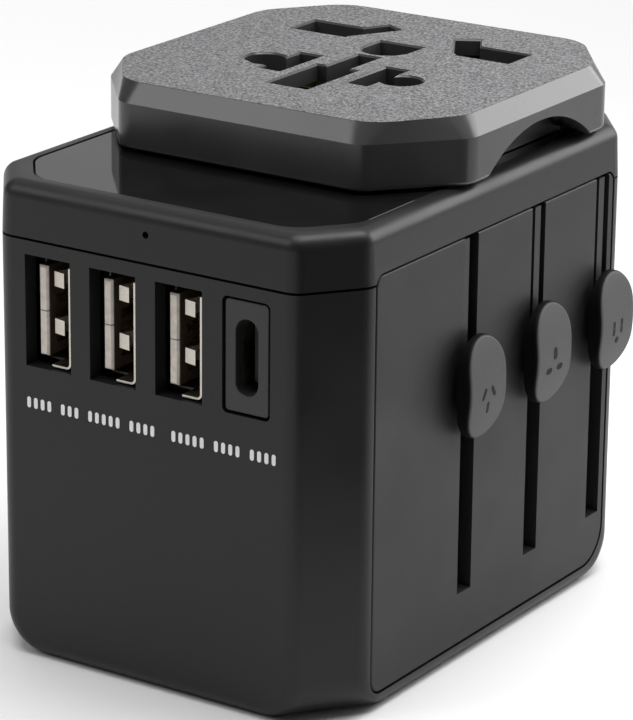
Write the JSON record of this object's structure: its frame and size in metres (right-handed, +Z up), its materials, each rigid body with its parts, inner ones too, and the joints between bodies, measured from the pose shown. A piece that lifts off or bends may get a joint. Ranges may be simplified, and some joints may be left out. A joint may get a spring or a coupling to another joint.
{
  "type": "universal travel adapter",
  "caption": "Block-shaped travel plug adapter with a lift-off universal socket head, sliding plug pins worked by oval side knobs, and a row of USB charging ports.",
  "frame": {"origin": "middle of the flat face that the adapter stands on, which is also the face that the plug pins come out of", "axes": "+X towards the side with the three slider knobs, -Y towards the charging ports, +Z up towards the socket face"},
  "size_m": [0.0528, 0.068, 0.0647],
  "materials": {
    "shell_plastic": "fine matte moulded black",
    "panel_plastic": "fine matte moulded dark grey",
    "plate_gloss": "polished black",
    "head_plastic": "semi-gloss sides, grained top face",
    "case_plastic": "matte moulded black",
    "knob_plastic": "soft matte dark grey",
    "frame_plastic": "matte moulded black",
    "carrier_plastic": "matte moulded black",
    "pin_metal": "nickel-plated brass",
    "port_steel": "plated sheet steel",
    "tongue_plastic": "ivory moulded plastic",
    "tongue_black": "black moulded plastic",
    "contact_gold": "gold-flashed contacts",
    "contact_brass": "stamped spring brass",
    "screw_steel": "zinc-plated steel",
    "spring_steel": "drawn spring wire",
    "board_laminate": "green solder mask on laminate",
    "winding_tape": "yellow winding tape over a ferrite core",
    "capacitor_sleeve": "printed shrink sleeve, blank",
    "chip_epoxy": "moulded epoxy",
    "led_lens": "milky lens",
    "light_guide": "clear moulded light guide",
    "fuse_glass": "glass tube with metal caps"
  },
  "bodies": {
    "housing": {"lower_shell": "shell_plastic", "top_cap": "shell_plastic", "slider_panel": "panel_plastic", "gloss_top_plate": "plate_gloss", "usb_c_surround": "case_plastic", "inner_frame": "frame_plastic", "usb_a_shell_left": "port_steel", "usb_a_shell_middle": "port_steel", "usb_a_shell_right": "port_steel", "usb_c_shell": "port_steel", "usb_a_tongue_left": "tongue_plastic", "usb_a_tongue_middle": "tongue_plastic", "usb_a_tongue_right": "tongue_plastic", "usb_c_tongue": "tongue_black", "usb_a_contacts_left": "contact_gold", "usb_a_contacts_middle": "contact_gold", "usb_a_contacts_right": "contact_gold", "contact_sleeves": "contact_brass", "live_busbar": "contact_brass", "neutral_busbar": "contact_brass", "pin_contacts": "contact_brass", "fuse_clips": "contact_brass", "case_screws": "screw_steel", "charger_board": "board_laminate", "transformer": "winding_tape", "input_capacitor": "capacitor_sleeve", "output_capacitors": "capacitor_sleeve", "control_chip": "chip_epoxy", "status_led": "led_lens", "light_pipe": "light_guide", "fuse": "fuse_glass"},
    "head": {"head_cover": "head_plastic", "head_case": "case_plastic", "eu_pins": "pin_metal", "head_screws": "screw_steel", "live_socket_contact": "contact_brass", "neutral_socket_contact": "contact_brass"},
    "aus_slider": {"aus_carrier": "carrier_plastic", "aus_blades": "pin_metal"},
    "uk_slider": {"uk_carrier": "carrier_plastic", "uk_line_pins": "pin_metal", "uk_earth_pin": "carrier_plastic"},
    "us_slider": {"us_carrier": "carrier_plastic", "us_blades": "pin_metal"},
    "aus_button": {"aus_knob": "knob_plastic", "aus_knob_spring": "spring_steel"},
    "uk_button": {"uk_knob": "knob_plastic", "uk_knob_spring": "spring_steel"},
    "us_button": {"us_knob": "knob_plastic", "us_knob_spring": "spring_steel"}
  },
  "joints": [
    {"name": "head_lift", "type": "slide", "parent": "housing", "child": "head", "axis": [0, 0, 1], "range_m": [0, 0.036]},
    {"name": "aus_slide", "type": "slide", "parent": "housing", "child": "aus_slider", "axis": [0, 0, -1], "range_m": [0, 0.018]},
    {"name": "uk_slide", "type": "slide", "parent": "housing", "child": "uk_slider", "axis": [0, 0, -1], "range_m": [0, 0.018]},
    {"name": "us_slide", "type": "slide", "parent": "housing", "child": "us_slider", "axis": [0, 0, -1], "range_m": [0, 0.018]},
    {"name": "aus_press", "type": "slide", "parent": "aus_slider", "child": "aus_button", "axis": [-1, 0, 0], "range_m": [0, 0.0008], "stiffness_N_per_m": 400, "springref_m": -0.0005},
    {"name": "uk_press", "type": "slide", "parent": "uk_slider", "child": "uk_button", "axis": [-1, 0, 0], "range_m": [0, 0.0008], "stiffness_N_per_m": 400, "springref_m": -0.0005},
    {"name": "us_press", "type": "slide", "parent": "us_slider", "child": "us_button", "axis": [-1, 0, 0], "range_m": [0, 0.0008], "stiffness_N_per_m": 400, "springref_m": -0.0005}
  ]
}
